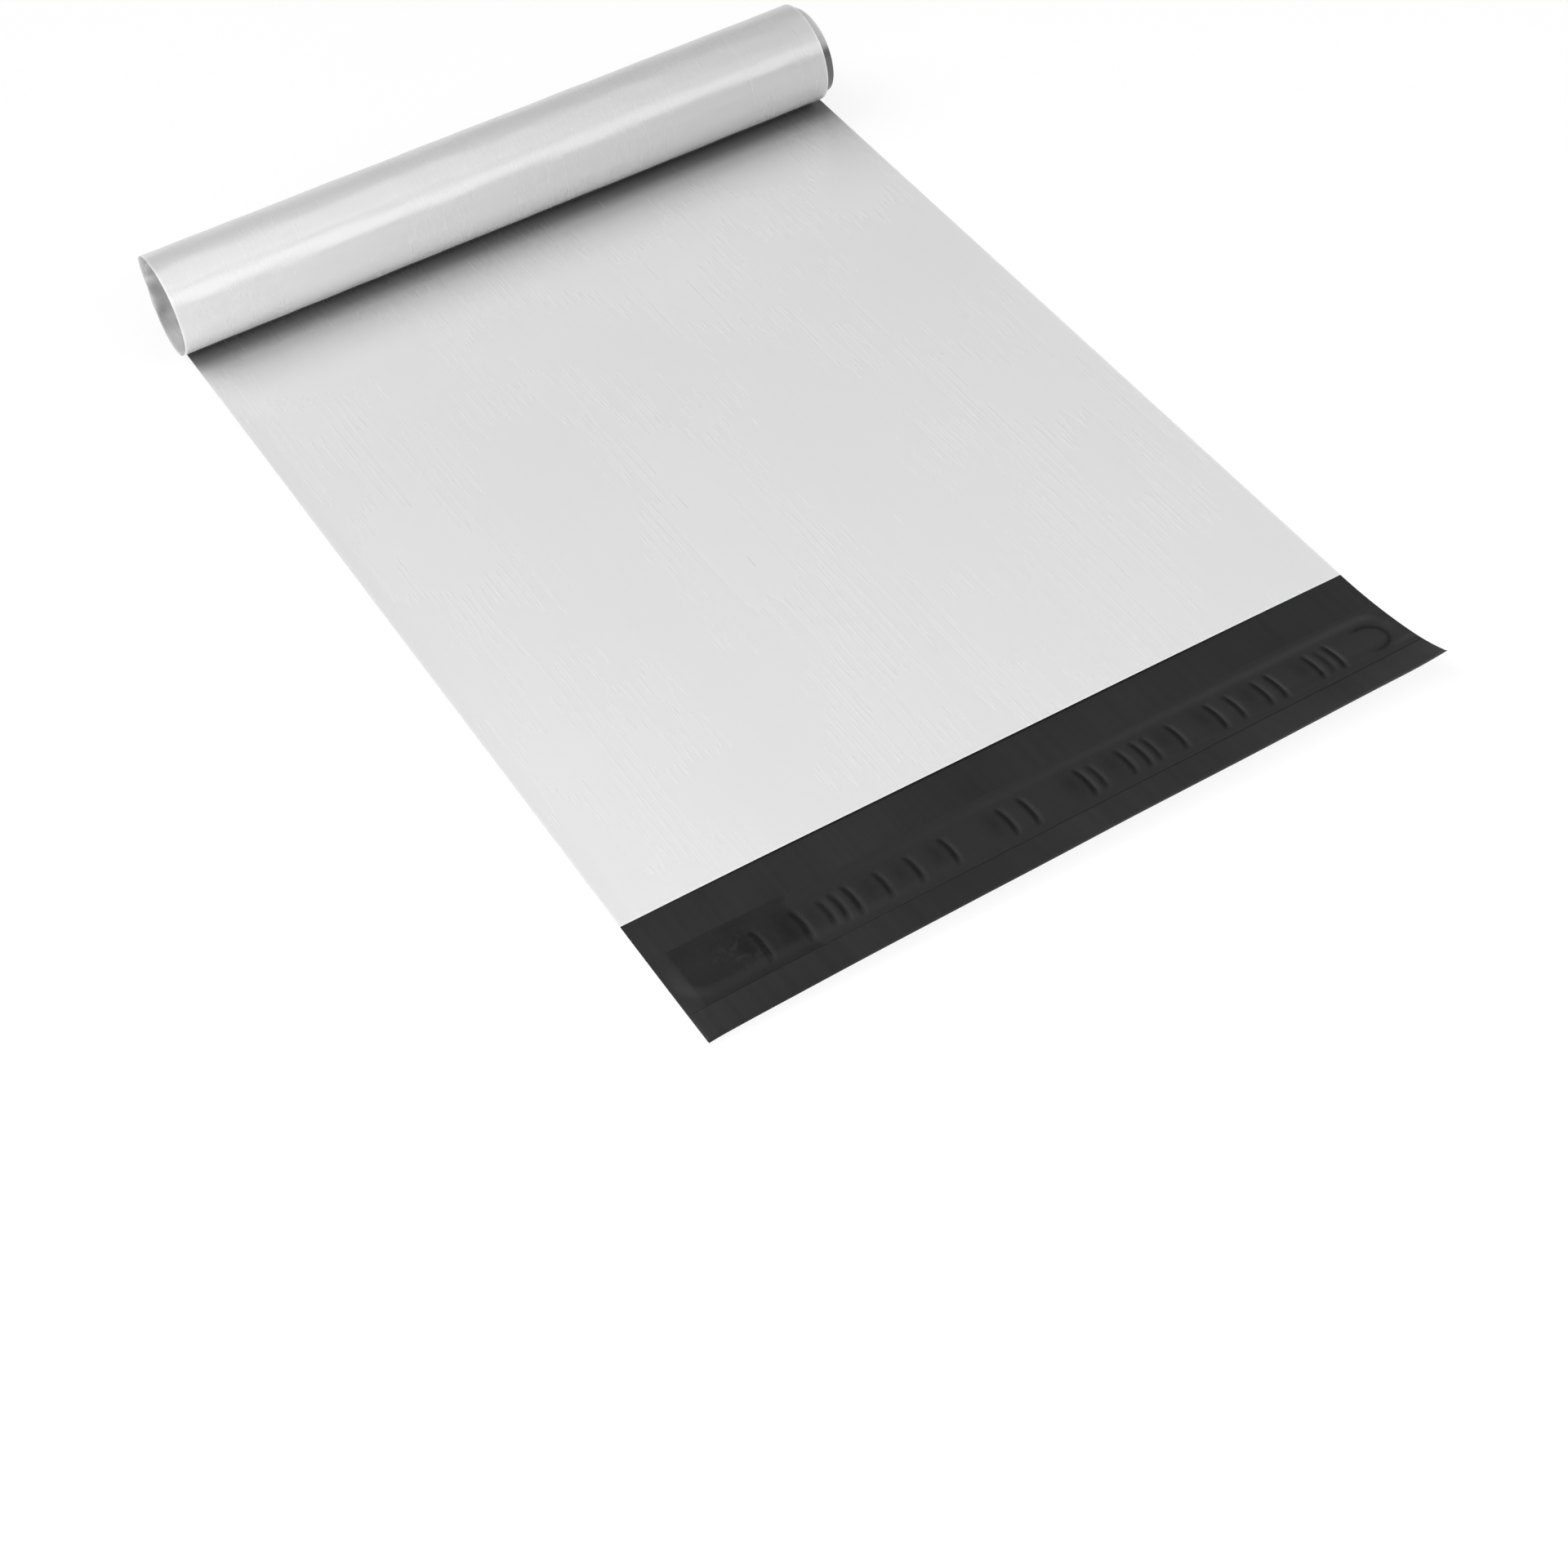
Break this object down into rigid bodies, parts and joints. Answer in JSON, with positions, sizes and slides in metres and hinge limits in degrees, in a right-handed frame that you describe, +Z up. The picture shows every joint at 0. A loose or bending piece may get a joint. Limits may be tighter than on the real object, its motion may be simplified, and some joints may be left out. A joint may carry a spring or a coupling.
{
  "type": "poly mailer bag",
  "caption": "Light grey plastic mailing bag with a black inside, lying flat with its closed end rolled up and its adhesive closing flap spread open.",
  "frame": {"origin": "middle of the bag's footprint, on the surface it lies on", "axes": "+X across the bag's width towards the flap's lifted corner, +Y from the closing flap towards the rolled closed end, +Z up out of the front panel"},
  "size_m": [0.2536, 0.3764, 0.0367],
  "materials": {
    "mailer_film": "satin plastic film, light grey outside and black inside",
    "adhesive_strip": "smooth pressure-sensitive adhesive",
    "release_liner": "thin translucent film that looks dark grey over the black flap"
  },
  "bodies": {
    "root": {"mailer_film": "mailer_film", "adhesive_strip": "adhesive_strip", "release_liner": "release_liner"}
  },
  "joints": []
}
